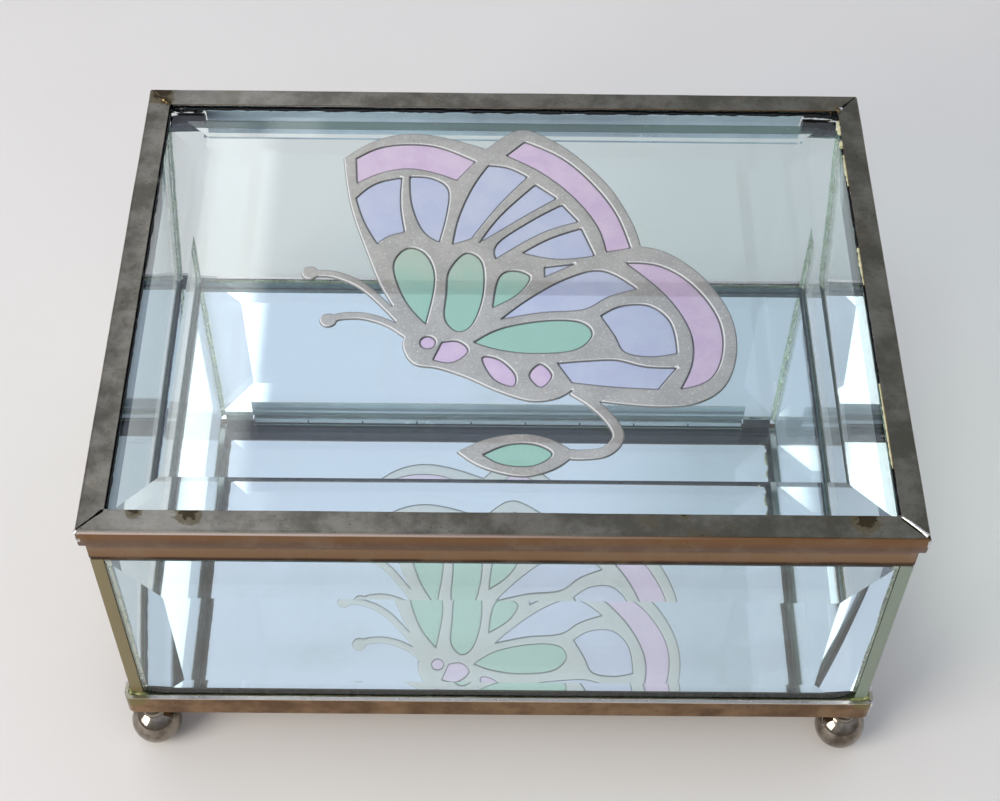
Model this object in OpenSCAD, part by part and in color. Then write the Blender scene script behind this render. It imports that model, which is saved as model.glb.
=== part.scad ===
// Glass casket box: bevelled glass walls in a metal tray on ball feet, with a framed, hinged lid.
// Millimetres. X runs along the box, Y to the hinge side, Z up from the table.

/* [Overall] */
// Width over the lid frame
lid_w = 140.8; // [124:0.1:190]
// Depth over the lid frame
lid_d = 105; // [98:0.1:150]
// Height from the table to the top of the lid frame
box_h = 75; // [56:1:110]

/* [Lid frame] */
// Thickness of the folded frame strip
strip_t = 0.4; // [0.3:0.05:0.6]
// Width of the flange that laps over the lid glass
flange_w = 4.4; // [3.6:0.1:6.5]
// Outside radius of the bend between flange and web
bend_r = 0.6; // [0.5:0.05:1.2]
// Height of the upper band of the frame
web_h = 4.4; // [4.3:0.1:5.6]
// Height of the whole skirt
skirt_h = 9.8; // [8.6:0.1:12]
// How far the lower band of the skirt is set in
joggle = 0.8; // [0.75:0.05:1.0]
// How far the lower band stops short of each corner
corner_notch = 0.3; // [0.2:0.05:3]
// Width of the soldered mitre seam
seam = 0.2; // [0.1:0.05:0.4]
// How far the solder stands proud of the frame
solder_proud = 0.12; // [0.05:0.01:0.25]

/* [Glass] */
// Thickness of the lid glass
lid_glass_t = 3.2; // [3:0.1:3.4]
// Thickness of the wall glass
wall_t = 3; // [2.8:0.1:4]
// Thickness left at the bevelled edge of the lid glass
edge_t = 2.1; // [1.4:0.1:2.4]
// Thickness left at the bevelled edge of the wall glass
wall_edge_t = 2.3; // [1.6:0.1:2.3]
// Width of the bevel on the lid glass
lid_bevel = 12; // [6:0.5:16]
// Width of the bevel along the top and the foot of the wall glass
wall_bevel = 11; // [6:0.1:15]
// Width of the bevel at the ends of the wall glass
wall_end_bevel = 8.5; // [5:0.1:15]
// Play between the lid glass and the frame round it
lid_glass_play = 0.2; // [0.1:0.05:0.3]
// Clearance between the skirt of the closed lid and the tops of the walls
lid_clear = 0.3; // [0.25:0.05:0.5]
// How far the walls' outer faces stand out past the lower band of the skirt
wall_out = 0.6; // [0.2:0.05:0.7]
// Adhesive between two panes at a corner
bond_t = 0.1; // [0.05:0.05:0.3]
// Leg of the adhesive fillet inside each corner
bond_leg = 1.4; // [0.8:0.1:2.5]

/* [Tray] */
// Thickness of the tray strip
tray_t = 0.7; // [0.5:0.05:0.8]
// Height of the tray lip
lip_h = 5.4; // [4:0.1:9]
// Gap filled with adhesive between the top of the lip and the walls
tray_gap = 0.3; // [0.2:0.05:1.2]
// Width of the flange under the walls
tray_flange_w = 7.5; // [6.5:0.1:12]
// Outside radius of the tray's corners
tray_corner_r = 1.5; // [1.2:0.1:1.6]
// Thickness of the backing board under the mirror
board_t = 2.4; // [1.5:0.1:4]
// Thickness of the mirror floor
mirror_t = 3; // [2:0.1:4]
// Play round the mirror and the board
floor_play = 0.3; // [0.1:0.05:0.6]

/* [Feet] */
// Height of a foot with its collar
foot_h = 12.9; // [11.5:0.1:18]
// Diameter of the ball
ball_d = 9.6; // [7:0.1:10]
// Distance of a foot's middle from the tray's side
foot_inset_x = 4.1; // [2.7:0.1:8]
// Distance of a foot's middle from the tray's front or back
foot_inset_y = 3; // [2.7:0.1:8]
// Diameter of the collar's rim
collar_d = 5.4; // [4.6:0.1:5.4]
// Diameter of the neck
neck_d = 4.2; // [3:0.1:4.6]

/* [Hinge] */
// Length of the hinge barrel
barrel_len = 120; // [80:1:122]
// Number of knuckles, the odd ones on the case
knuckles = 9; // [5:2:15]
// Outside radius of the barrel
barrel_r = 1.1; // [1.0:0.05:1.2]
// Radius of the hinge pin
pin_r = 0.6; // [0.4:0.05:0.7]
// Play between the pin and its knuckles
pin_play = 0.05; // [0.02:0.01:0.08]
// Free space round a knuckle
knuckle_clear = 0.3; // [0.25:0.05:0.4]
// Thickness of the hinge strips
leaf_t = 0.4; // [0.3:0.05:0.5]
// How far the case's strip reaches down outside the back wall
rail_out = 3.4; // [2:0.1:8]
// Adhesive between this strip and the glass
rail_bond = 0.1; // [0.05:0.05:0.2]

/* [Ornament] */
// Height of the ornament's lines
line_h = 0.45; // [0.3:0.05:0.8]
// Height of its coloured cells
cell_h = 0.25; // [0.15:0.05:0.3]
// Width of the whole ornament
ornament_w = 78.6; // [55:0.1:80]
// Width of the sprig's stem
stem_w = 2.2; // [1.6:0.1:3]
// Width of a feeler
feeler_w = 1.7; // [1.2:0.1:2.4]

/* [Hidden] */

// A cut runs this far past the faces that it cuts
past = 1;

// Heights
web_bottom = box_h - web_h;
ledge_top = web_bottom + strip_t;
lid_glass_top = ledge_top + lid_glass_t;
wall_top = box_h - skirt_h - lid_clear;
tray_floor = foot_h + tray_t;
mirror_bottom = tray_floor + board_t;
mirror_top = mirror_bottom + mirror_t;
wall_h = wall_top - tray_floor;

// Plan sizes
glass_w = lid_w - 2 * (joggle - wall_out);
glass_d = lid_d - 2 * (joggle - wall_out);
front_glass_w = glass_w - 2 * (wall_t + bond_t);
wall_edge_in = wall_t - wall_edge_t;
bevel_slope = wall_edge_in / wall_bevel;
side_glass_d = glass_d - 2 * wall_edge_in;
inside_w = glass_w - 2 * wall_t;
inside_d = glass_d - 2 * wall_t;
// The lip stands against the bevel at the foot of the walls
lip_out = tray_gap + tray_t - max(0, wall_bevel - lip_h + tray_t) * bevel_slope;
tray_w = glass_w + 2 * lip_out;
tray_d = glass_d + 2 * lip_out;
lid_inset = strip_t + lid_glass_play;

// Hinge: the barrel touches the plane of the lid leaf's back face
axis_y = lid_d / 2 + leaf_t - barrel_r;
axis_z = web_bottom - knuckle_clear - barrel_r;
rail_bottom = wall_top - rail_out;
// The foot of the case's strip lies on the bevel of the back wall
rail_y = glass_d / 2 - max(0, wall_bevel - rail_out) * bevel_slope + rail_bond;
knuckle_pitch = barrel_len / knuckles;

// Parts of a foot
foot_flat = 0.1;
collar_t = 1.2;

// Whatever reaches farthest sets the depth, and the whole is moved to centre it on Y
foot_reach = tray_d / 2 - foot_inset_y + ball_d / 2;
front_reach = max(lid_d / 2 + solder_proud, foot_reach);
back_reach = max(lid_d / 2 + leaf_t, foot_reach);
shift_y = (front_reach - back_reach) / 2;

// Ornament, drawn on the lid's plane about its middle. A point is [x, y], or [x, y, 1] at a corner.
curve_steps = 5;
drawn_w = 78.6;
ornament_scale = ornament_w / drawn_w;
wings = [[-17, -8.5, 1], [-22, 0.5], [-25.5, 10], [-29, 21.5], [-31, 34, 1], [-25, 39], [-18.5, 41],
    [-11.5, 40], [-3.5, 37, 1], [0, 40.5], [3, 42.3], [6.5, 41.5], [13, 36.5], [20, 27.5],
    [24, 18.5], [25.5, 12, 1], [31, 10], [37, 4], [41, -4.5], [41.5, -13], [39, -20.5],
    [34, -24.5], [27, -25.5], [16.5, -24.5, 1], [12, -22, 1], [9, -24], [4.5, -24.5],
    [-1, -22.5], [-6.5, -19.5], [-11.5, -17.5], [-16, -16.5], [-18, -12.5]];
leaf = [[-8, -35.5, 1], [-3, -32.7], [3, -31.5], [8, -32.5], [12.5, -35.5, 1], [8.5, -39], [3, -40.5],
    [-3.5, -38.8]];
upper_feeler = [[-16.5, -9.5], [-21, -3.5], [-26, 1.8], [-31, 4.3], [-35.5, 4.6]];
lower_feeler = [[-16.5, -10.5], [-20.5, -7.3], [-25, -5.6], [-29, -5.6], [-31.5, -6.6]];
stem = [[12, -22], [15.5, -24.8], [18.5, -28.5], [19.7, -32], [17.5, -35], [13.5, -35.8], [10, -35.6]];
feeler_knob_d = 3.2;
eye_at = [-13.5, -11.6];
eye_d = 2.8;
pink_cells = [
    [[-28.5, 34, 1], [-24, 37], [-18.5, 38], [-12.5, 37.2], [-5.5, 33.5, 1], [-9, 28.5, 1],
        [-13.5, 30.5], [-18.5, 31.5], [-23.5, 30.3], [-28, 27.5, 1]],
    [[4, 39, 1], [11, 34.8], [16.5, 28.5], [21, 20.5], [23.5, 11.5, 1], [19, 10.5, 1], [17.5, 17],
        [13.5, 24], [7.5, 30.5], [0.5, 35.2, 1]],
    [[22.5, 7.8, 1], [29, 7], [34.5, 2.5], [38.5, -5], [39, -12.5], [36.5, -19], [31, -21.5, 1],
        [33.5, -15], [33.3, -8], [29.5, 0]],
    [[-12.5, -15.5, 1], [-11, -11.5, 1], [-8, -11.3], [-6.3, -13.5], [-9, -16]],
    [[-3.8, -15], [-0.8, -15.3], [2, -18.6], [1.6, -21.2], [-1.8, -19.6]],
    [[4.5, -18.8], [6.5, -16.2], [8.5, -18.8], [6.5, -21.4]]];
lavender_cells = [
    [[-28, 23.5, 1], [-24.5, 27.3], [-19.5, 29, 1], [-19.5, 22], [-18.5, 15, 1], [-21.3, 14],
        [-23.5, 12, 1], [-26.2, 17.5]],
    [[-18, 29.3, 1], [-13.5, 28.8], [-10.6, 26], [-10.7, 20], [-12, 12.5, 1], [-15.2, 15.5],
        [-17.4, 22]],
    [[-3, 32.5, 1], [1, 31.8], [4.5, 29.5, 1], [-1, 22], [-6, 13.5, 1], [-9.5, 12, 1], [-8.4, 19],
        [-6, 26.5]],
    [[6, 27.5, 1], [10, 24, 1], [3.5, 19], [-4.5, 12.5, 1], [-0.5, 19.5]],
    [[11, 22.3, 1], [14, 18, 1], [7, 15], [-1.5, 8.5, 1], [-1, 12.5], [5, 18]],
    [[14.5, 16.3, 1], [16.8, 9.5, 1], [10, 8.6], [3.5, 10, 1], [8.5, 13.6]],
    [[7.5, 6.5, 1], [13, 7.4, 1], [7.5, 4.2, 1]],
    [[-0.5, -6, 1], [5, -0.8], [11.5, 3.8], [18, 5.8], [24.3, 1.5, 1], [19, -0.5], [14.5, -3.5],
        [7, -4.3]],
    [[17.5, -5, 1], [21.5, -2.6], [26.5, -2.6], [30, -6.5], [30.8, -13.5, 1], [26, -14.3],
        [21.5, -13.3], [19.8, -9.5]],
    [[9.5, -16, 1], [15, -15.4], [20, -15.2], [25, -16.6], [30.5, -16.8, 1], [27, -21.6, 1],
        [19.5, -21.2], [12, -20.3, 1]]];
green_cells = [
    [[-20.3, 6.5], [-18, 10.8], [-14.5, 9.5], [-12.6, 3.5], [-14, -7.3, 1], [-18, -1.5]],
    [[-10, 5.5], [-7, 9.8], [-4, 7.5], [-3.7, 0], [-5.5, -7], [-8.2, -9], [-10.6, -6], [-10.4, 0]],
    [[-0.8, 4], [2, 5.6], [4.8, 4], [2.6, 0], [-2, -3.3, 1]],
    [[-5.3, -11.4, 1], [0, -8], [8, -6.2], [14, -6.6], [15.8, -9.6], [12.5, -13], [5, -13.8],
        [-1, -13]],
    [[-3.5, -36, 1], [1, -33.8], [5.5, -33.8], [8.3, -35.8], [5, -38.2], [0, -38]]];

// Curves through hand-set points
function point_at(p, i) = [p[(i + len(p)) % len(p)][0], p[(i + len(p)) % len(p)][1]];
function corner_at(p, i) = len(p[(i + len(p)) % len(p)]) == 3;
function through(p, i) = (point_at(p, i + 1) - point_at(p, i - 1)) / 2;
function leaving(p, i) =
    let (run = point_at(p, i + 1) - point_at(p, i))
    !corner_at(p, i) ? through(p, i) :
    corner_at(p, i + 1) ? run : 1.5 * run - 0.5 * through(p, i + 1);
function arriving(p, i) =
    let (run = point_at(p, i) - point_at(p, i - 1))
    !corner_at(p, i) ? through(p, i) :
    corner_at(p, i - 1) ? run : 1.5 * run - 0.5 * through(p, i - 1);
function between(a, b, ta, tb, t) =
    a * (2 * t^3 - 3 * t^2 + 1) + ta * (t^3 - 2 * t^2 + t) + b * (3 * t^2 - 2 * t^3) + tb * (t^3 - t^2);
function curve(p) = [for (i = [0:len(p) - 1],
    k = [0:corner_at(p, i) && corner_at(p, i + 1) ? 0 : curve_steps - 1])
    between(point_at(p, i), point_at(p, i + 1), leaving(p, i), arriving(p, i + 1), k / curve_steps)];

// A ribbon of one width along an open line of points
function along(p, i) = i == 0 ? p[1] - p[0] :
    i == len(p) - 1 ? p[i] - p[i - 1] : (p[i + 1] - p[i - 1]) / 2;
function open_curve(p) = concat([for (i = [0:len(p) - 2], k = [0:curve_steps - 1])
    between(p[i], p[i + 1], along(p, i), along(p, i + 1), k / curve_steps)], [p[len(p) - 1]]);
function side_step(v) = [-v[1], v[0]] / norm(v);
function ribbon(p, w) = let (q = open_curve(p))
    concat([for (i = [0:len(q) - 1]) q[i] + side_step(along(q, i)) * w / 2],
        [for (i = [len(q) - 1:-1:0]) q[i] - side_step(along(q, i)) * w / 2]);

// Section of a lid rail: x runs in from the web's outer face, y up from the lid's top.
// grow swells the outside, which the solder needs; widen stretches x for a cut along a mitre.
function bend_points(grow) = [for (a = [90:15:180])
    [bend_r + (bend_r + grow) * cos(a), -bend_r + (bend_r + grow) * sin(a)]];
function rail_section(skirted, grow, widen) =
    let (foot = skirted ?
            [[joggle - grow, -web_h - grow], [joggle - grow, -skirt_h],
                [joggle + strip_t, -skirt_h], [joggle + strip_t, -web_h + strip_t]] :
            [[joggle + strip_t, -web_h - grow], [joggle + strip_t, -web_h + strip_t]],
        section = concat([[flange_w, grow]], bend_points(grow), [[-grow, -web_h - grow]], foot,
            [[strip_t, -web_h + strip_t], [strip_t, -strip_t], [flange_w, -strip_t]]))
    [for (q = section) [q[0] * widen, q[1]]];

// A pane lying flat with its bevelled face up, mitred where the bevels meet
module bevelled_pane(w, d, t, edge, end_bevel, side_bevel) {
    intersection() {
        bevel_prism(w, d, t, edge, end_bevel);
        rotate([0, 0, 90]) bevel_prism(d, w, t, edge, side_bevel);
    }
}

module bevel_prism(w, run, t, edge, bevel) {
    translate([0, run / 2, 0])
    rotate([90, 0, 0])
    linear_extrude(run)
    polygon([[-w / 2, 0], [w / 2, 0], [w / 2, edge], [w / 2 - bevel, t], [bevel - w / 2, t],
        [-w / 2, edge]]);
}

// One rail of the lid frame along X, with its web's outer face on y = 0
module lid_rail(run, skirted) {
    half_top = run / 2 - seam / sqrt(2);
    half_skirt = run / 2 - joggle - corner_notch;
    reach = flange_w + past;
    intersection() {
        translate([-run / 2, 0, box_h])
            rotate([90, 0, 90])
            linear_extrude(run) polygon(rail_section(skirted, 0, 1));
        union() {
            translate([0, 0, web_bottom])
                linear_extrude(web_h + past)
                polygon([[-half_top, 0], [half_top, 0], [half_top - reach, reach],
                    [reach - half_top, reach]]);
            if (skirted)
                translate([-half_skirt, 0, box_h - skirt_h - past])
                    cube([2 * half_skirt, reach, skirt_h + past - web_h]);
        }
    }
}

// Puts a piece drawn for the front on any side of a w by d rectangle
module on_side(side, w, d) {
    turn = side == "front" ? 0 : side == "right" ? 90 : side == "back" ? 180 : 270;
    out = side == "front" || side == "back" ? d / 2 : w / 2;
    translate([0, shift_y, 0]) rotate([0, 0, turn]) translate([0, -out, 0]) children();
}

module lid_frame_front() {
    color([0.42, 0.42, 0.4]) on_side("front", lid_w, lid_d) lid_rail(lid_w, true);
}

module lid_frame_back() {
    color([0.45, 0.42, 0.38]) on_side("back", lid_w, lid_d) lid_rail(lid_w, false);
}

module lid_frame_left() {
    color([0.42, 0.42, 0.4]) on_side("left", lid_w, lid_d) lid_rail(lid_d, true);
}

module lid_frame_right() {
    color([0.36, 0.35, 0.33]) on_side("right", lid_w, lid_d) lid_rail(lid_d, true);
}

// Solder run into the four mitre seams
module lid_corner_solder() {
    color([0.8, 0.8, 0.8])
    translate([0, shift_y, 0])
    for (sx = [-1, 1], sy = [-1, 1])
        translate([sx * lid_w / 2, sy * lid_d / 2, box_h])
        rotate([0, 0, atan2(-sy, -sx)])
        rotate([90, 0, 0])
        translate([0, 0, -seam / 2])
        linear_extrude(seam)
        polygon(rail_section(false, solder_proud, sqrt(2)));
}

module lid_pane() {
    translate([0, shift_y, ledge_top])
        bevelled_pane(lid_w - 2 * lid_inset, lid_d - 2 * lid_inset, lid_glass_t, edge_t, lid_bevel,
            lid_bevel);
}

module lid_glass() {
    color([0.75, 0.88, 0.86, 0.35]) lid_pane();
}

// Sealant between the flange and the bevel of the lid glass
module lid_sealant() {
    color([0.1, 0.11, 0.1])
    difference() {
        translate([-lid_w / 2 + strip_t, -lid_d / 2 + strip_t + shift_y, ledge_top + edge_t])
            cube([lid_w - 2 * strip_t, lid_d - 2 * strip_t, web_h - 2 * strip_t - edge_t]);
        translate([-lid_w / 2 + flange_w, -lid_d / 2 + flange_w + shift_y, ledge_top])
            cube([lid_w - 2 * flange_w, lid_d - 2 * flange_w, web_h]);
        lid_pane();
    }
}

// Ornament: raised lines cast round coloured cells, stuck on the lid glass
module on_lid(h) {
    translate([0, shift_y, lid_glass_top])
        scale(ornament_scale)
        linear_extrude(h / ornament_scale) children();
}

module cells(list) {
    for (c = list) polygon(curve(c));
}

module butterfly_outline() {
    color([0.72, 0.73, 0.72])
    on_lid(line_h)
    difference() {
        union() {
            polygon(curve(wings));
            polygon(curve(leaf));
            polygon(ribbon(upper_feeler, feeler_w / ornament_scale));
            polygon(ribbon(lower_feeler, feeler_w / ornament_scale));
            polygon(ribbon(stem, stem_w / ornament_scale));
            translate(upper_feeler[len(upper_feeler) - 1]) circle(d = feeler_knob_d, $fn = 24);
            translate(lower_feeler[len(lower_feeler) - 1]) circle(d = feeler_knob_d, $fn = 24);
        }
        cells(pink_cells);
        cells(lavender_cells);
        cells(green_cells);
        translate(eye_at) circle(d = eye_d, $fn = 24);
    }
}

module butterfly_pink() {
    color([0.8, 0.68, 0.84]) on_lid(cell_h) {
        cells(pink_cells);
        translate(eye_at) circle(d = eye_d, $fn = 24);
    }
}

module butterfly_lavender() {
    color([0.68, 0.73, 0.86]) on_lid(cell_h) cells(lavender_cells);
}

module butterfly_green() {
    color([0.58, 0.78, 0.7]) on_lid(cell_h) cells(green_cells);
}

// A wall pane stood up, bevels outwards, its outer face on y = 0 and its foot on the tray
module wall_pane(w) {
    translate([0, wall_t, tray_floor + wall_h / 2])
        rotate([90, 0, 0])
        bevelled_pane(w, wall_h, wall_t, wall_edge_t, wall_end_bevel, wall_bevel);
}

module front_glass() {
    color([0.72, 0.88, 0.86, 0.35]) on_side("front", glass_w, glass_d) wall_pane(front_glass_w);
}

module back_glass() {
    color([0.72, 0.88, 0.86, 0.35]) on_side("back", glass_w, glass_d) wall_pane(front_glass_w);
}

module left_glass() {
    color([0.72, 0.88, 0.86, 0.35]) on_side("left", glass_w, glass_d) wall_pane(side_glass_d);
}

module right_glass() {
    color([0.72, 0.88, 0.86, 0.35]) on_side("right", glass_w, glass_d) wall_pane(side_glass_d);
}

// Clear adhesive: the film between two panes and the fillet inside the corner
module corner_bond(sx, sy) {
    color([0.72, 0.76, 0.5])
    translate([sx * inside_w / 2, sy * inside_d / 2 + shift_y, 0]) {
        translate([0, 0, mirror_top])
            linear_extrude(wall_top - mirror_top)
            polygon([[0, 0], [-sx * bond_leg, 0], [0, -sy * bond_leg]]);
        translate([sx > 0 ? -bond_t : 0, sy > 0 ? 0 : -wall_edge_t, tray_floor])
            cube([bond_t, wall_edge_t, wall_h]);
    }
}

module corner_bond_front_left() {
    corner_bond(-1, -1);
}

module corner_bond_front_right() {
    corner_bond(1, -1);
}

module corner_bond_back_left() {
    corner_bond(-1, 1);
}

module corner_bond_back_right() {
    corner_bond(1, 1);
}

module rounded_plan(w, d, r) {
    square([w - 2 * r, d], center = true);
    square([w, d - 2 * r], center = true);
    for (sx = [-1, 1], sy = [-1, 1])
        translate([sx * (w / 2 - r), sy * (d / 2 - r)]) circle(r = r, $fn = 48);
}

// The cut at the front right corner where the ends of the tray strip meet
module tray_joint(extra) {
    translate([tray_w / 2 - tray_corner_r, tray_corner_r - tray_d / 2, tray_floor])
        rotate([0, 0, -45])
        translate([0, -seam / 2, 0])
        cube([tray_corner_r + extra, seam, lip_h - tray_t]);
}

// One angle strip bent round the four corners
module tray_frame() {
    color([0.5, 0.46, 0.42])
    translate([0, shift_y, 0])
    difference() {
        translate([0, 0, foot_h]) linear_extrude(lip_h) rounded_plan(tray_w, tray_d, tray_corner_r);
        translate([0, 0, tray_floor])
            linear_extrude(lip_h)
            rounded_plan(tray_w - 2 * tray_t, tray_d - 2 * tray_t, tray_corner_r - tray_t);
        translate([0, 0, foot_h + tray_t / 2])
            cube([tray_w - 2 * tray_flange_w, tray_d - 2 * tray_flange_w, tray_t + past],
                center = true);
        tray_joint(past);
    }
}

module tray_solder() {
    color([0.8, 0.8, 0.8])
    translate([0, shift_y, 0])
    difference() {
        tray_joint(solder_proud);
        translate([0, 0, foot_h])
            linear_extrude(lip_h + past)
            rounded_plan(tray_w - 2 * tray_t, tray_d - 2 * tray_t, tray_corner_r - tray_t);
    }
}

// The bevelled foot of two opposite walls, as one solid between their outer faces
module wall_feet(w, run) {
    translate([0, run / 2, 0])
        rotate([90, 0, 0])
        linear_extrude(run)
        polygon([[wall_edge_in - w / 2, -past], [wall_edge_in - w / 2, 0], [-w / 2, wall_bevel],
            [w / 2, wall_bevel], [w / 2 - wall_edge_in, 0], [w / 2 - wall_edge_in, -past]]);
}

// Adhesive that fills the gap between the lip and the walls
module tray_adhesive() {
    fill_w = tray_w - 2 * tray_t;
    fill_d = tray_d - 2 * tray_t;
    color([0.55, 0.6, 0.35])
    translate([0, shift_y, tray_floor])
    difference() {
        linear_extrude(lip_h - 2 * tray_t) rounded_plan(fill_w, fill_d, tray_corner_r - tray_t);
        intersection() {
            wall_feet(glass_w, glass_d);
            rotate([0, 0, 90]) wall_feet(glass_d, glass_w);
        }
    }
}

module floor_plate(bottom, t) {
    translate([-inside_w / 2 + floor_play, shift_y - inside_d / 2 + floor_play, bottom])
        cube([inside_w - 2 * floor_play, inside_d - 2 * floor_play, t]);
}

module backing_board() {
    color([0.35, 0.26, 0.18]) floor_plate(tray_floor, board_t);
}

module mirror_floor() {
    color([0.75, 0.82, 0.88]) floor_plate(mirror_bottom, mirror_t);
}

// Ball foot with neck and collar, turned in one piece and cut flat where it stands
module foot(sx, sy) {
    ball_z = ball_d / 2 - foot_flat;
    color([0.55, 0.53, 0.5])
    translate([sx * (tray_w / 2 - foot_inset_x), sy * (tray_d / 2 - foot_inset_y) + shift_y, 0])
    intersection() {
        union() {
            translate([0, 0, ball_z]) sphere(d = ball_d, $fn = 64);
            translate([0, 0, ball_z]) cylinder(d = neck_d, h = foot_h - ball_z, $fn = 48);
            translate([0, 0, foot_h - collar_t]) cylinder(d = collar_d, h = collar_t, $fn = 48);
        }
        cylinder(d = 2 * ball_d, h = foot_h, $fn = 48);
    }
}

module foot_front_left() {
    foot(-1, -1);
}

module foot_front_right() {
    foot(1, -1);
}

module foot_back_left() {
    foot(-1, 1);
}

module foot_back_right() {
    foot(1, 1);
}

// Puts children on the hinge axis, with Z along the axis
module on_axis() {
    translate([0, axis_y + shift_y, axis_z]) rotate([0, 90, 0]) children();
}

// The stretch of knuckle i, as a bar of radius r lengthened by extra at each end
module knuckle_bar(i, r, extra) {
    on_axis()
        translate([0, 0, -barrel_len / 2 + i * knuckle_pitch - extra])
        cylinder(r = r, h = knuckle_pitch + 2 * extra, $fn = 48);
}

module knuckle_box(i, y0, y1, z0, z1, extra) {
    translate([-barrel_len / 2 + i * knuckle_pitch - extra, y0 + shift_y, z0])
        cube([knuckle_pitch + 2 * extra, y1 - y0, z1 - z0]);
}

module pin_bore() {
    on_axis() cylinder(r = pin_r + pin_play, h = barrel_len + 2 * past, center = true, $fn = 48);
}

// Strip glued outside the back wall, curled into the case's knuckles
module hinge_case_rail() {
    strip_top = axis_z - barrel_r - 2 * knuckle_clear;
    gap = knuckle_clear / 2;
    color([0.6, 0.58, 0.52])
    difference() {
        union() {
            translate([-barrel_len / 2, rail_y + shift_y, rail_bottom])
                cube([barrel_len, leaf_t, strip_top - rail_bottom]);
            for (i = [0:2:knuckles - 1]) {
                knuckle_bar(i, barrel_r, -gap);
                knuckle_box(i, rail_y, rail_y + leaf_t, wall_top, axis_z, -gap);
            }
        }
        for (i = [1:2:knuckles - 2]) knuckle_bar(i, barrel_r + knuckle_clear, gap);
        pin_bore();
    }
}

// Strip soldered behind the lid frame, curled into the lid's knuckles
module hinge_lid_leaf() {
    back_y = lid_d / 2;
    gap = knuckle_clear / 2;
    color([0.6, 0.58, 0.52])
    difference() {
        union() {
            translate([-barrel_len / 2, back_y + shift_y, axis_z])
                cube([barrel_len, leaf_t, box_h - 2 * bend_r - axis_z]);
            for (i = [1:2:knuckles - 2]) knuckle_bar(i, barrel_r, -gap);
        }
        for (i = [0:2:knuckles - 1]) {
            knuckle_bar(i, barrel_r + knuckle_clear, gap);
            knuckle_box(i, back_y - past, back_y + leaf_t + past, axis_z - past, web_bottom, gap);
        }
        pin_bore();
    }
}

module hinge_pin() {
    color([0.7, 0.66, 0.55])
    on_axis() cylinder(r = pin_r, h = barrel_len, center = true, $fn = 48);
}

lid_frame_front();
lid_frame_back();
lid_frame_left();
lid_frame_right();
lid_corner_solder();
lid_glass();
lid_sealant();
butterfly_outline();
butterfly_pink();
butterfly_lavender();
butterfly_green();
hinge_lid_leaf();
front_glass();
back_glass();
left_glass();
right_glass();
corner_bond_front_left();
corner_bond_front_right();
corner_bond_back_left();
corner_bond_back_right();
tray_frame();
tray_solder();
tray_adhesive();
backing_board();
mirror_floor();
foot_front_left();
foot_front_right();
foot_back_left();
foot_back_right();
hinge_case_rail();
hinge_pin();
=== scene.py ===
import math

import bmesh
import bpy
import numpy as np
from mathutils import Matrix, Vector, geometry, kdtree, noise


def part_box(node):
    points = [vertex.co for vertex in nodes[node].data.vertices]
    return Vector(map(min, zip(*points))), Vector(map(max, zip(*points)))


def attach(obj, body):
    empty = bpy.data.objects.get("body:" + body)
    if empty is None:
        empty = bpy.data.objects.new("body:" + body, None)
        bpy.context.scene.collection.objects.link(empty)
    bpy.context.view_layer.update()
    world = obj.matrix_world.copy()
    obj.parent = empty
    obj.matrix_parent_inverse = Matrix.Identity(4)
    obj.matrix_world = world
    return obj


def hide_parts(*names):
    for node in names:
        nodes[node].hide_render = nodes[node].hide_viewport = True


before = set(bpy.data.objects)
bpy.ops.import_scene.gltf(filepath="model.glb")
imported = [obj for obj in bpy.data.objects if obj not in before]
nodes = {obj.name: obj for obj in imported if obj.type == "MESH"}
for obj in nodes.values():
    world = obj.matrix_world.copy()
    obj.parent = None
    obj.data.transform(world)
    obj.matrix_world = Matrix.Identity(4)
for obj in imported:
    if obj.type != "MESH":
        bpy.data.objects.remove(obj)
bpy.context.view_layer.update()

scene = bpy.context.scene
mm = 0.001


# The room isn't part of the box: a pale table top, a wide window to the left of the camera, and a
# bluish ceiling light that is brightest behind the box, where its mirror floor and its frame look, with
# a narrow bright strip to the left of it.
camera_at = Vector((-3.0, -215.1, 324.3)) * mm
camera_pitch = 52.64
camera_yaw = 0.7143
camera_roll = -1.0922
lens = 65.2
window_way = Vector((-0.74, -0.5, 0.46))
window_size = 0.55
window_distance = 1.0
window_height = 0.04
window_power = 8.0
sky_strength = 0.96
strip_lean = -0.19
table_half = 3.0


def seen(red, green, blue):
    """A colour as the eye reads it on a screen, 0 to 255, in the linear values that shaders take."""
    return tuple((c / 255) ** 2.2 for c in (red, green, blue)) + (1.0,)


class Signal:
    """A socket in a finish. Arithmetic on it adds the Math nodes that the arithmetic means."""

    def __init__(self, finish, socket):
        self.finish, self.socket = finish, socket

    def maths(self, operation, first, second=0.0):
        return self.finish.node("ShaderNodeMath", {"operation": operation}, {0: first, 1: second})

    def __add__(self, other):
        return self.maths("ADD", self, other)

    def __sub__(self, other):
        return self.maths("SUBTRACT", self, other)

    def __rsub__(self, other):
        return self.maths("SUBTRACT", other, self)

    def __mul__(self, other):
        return self.maths("MULTIPLY", self, other)

    def __truediv__(self, other):
        return self.maths("DIVIDE", self, other)

    def __abs__(self):
        return self.maths("ABSOLUTE", self)

    __radd__, __rmul__ = __add__, __mul__

    def least(self, other):
        return self.maths("MINIMUM", self, other)

    def most(self, other):
        return self.maths("MAXIMUM", self, other)

    def rise(self, low, high):
        """0 at low and 1 at high, smooth between. It falls where low is the greater."""
        return self.finish.node("ShaderNodeMapRange", {"interpolation_type": "SMOOTHSTEP"},
                                {"Value": self, "From Min": low, "From Max": high})


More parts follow.
